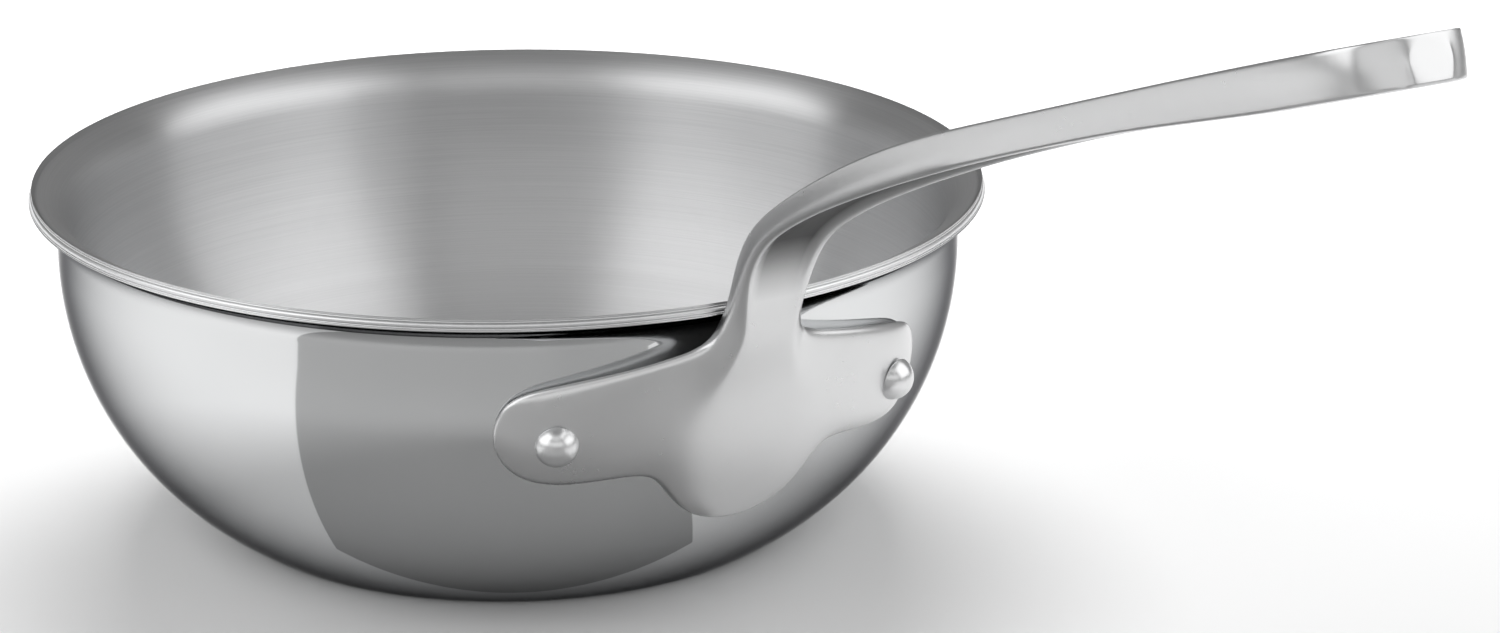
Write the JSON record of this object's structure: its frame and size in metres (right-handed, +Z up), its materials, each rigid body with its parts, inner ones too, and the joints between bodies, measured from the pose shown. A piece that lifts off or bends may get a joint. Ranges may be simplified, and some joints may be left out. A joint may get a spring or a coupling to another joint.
{
  "type": "saute pan",
  "caption": "Splayed saute pan with curved clad sides, a flat base, a flared pouring lip and a cast handle riveted to the wall by a saddle flange.",
  "frame": {"origin": "centre of the flat base, on the face that the pan rests on", "axes": "+Z up along the bowl's axis, +X from the bowl along the handle, +Y square to both"},
  "size_m": [0.432, 0.2176, 0.1854],
  "materials": {
    "polished_steel": "mirror polished stainless steel",
    "brushed_steel": "stainless steel brushed in rings",
    "cast_steel": "cast stainless steel, hand polished",
    "rivet_steel": "polished stainless steel",
    "core_aluminium": "rolled aluminium alloy",
    "soft_aluminium": "rolled soft aluminium"
  },
  "bodies": {
    "root": {"outer_skin": "polished_steel", "outer_bond_layer": "soft_aluminium", "core": "core_aluminium", "inner_bond_layer": "soft_aluminium", "inner_skin": "brushed_steel", "handle": "cast_steel", "rivet_left": "rivet_steel", "rivet_right": "rivet_steel"}
  },
  "joints": []
}
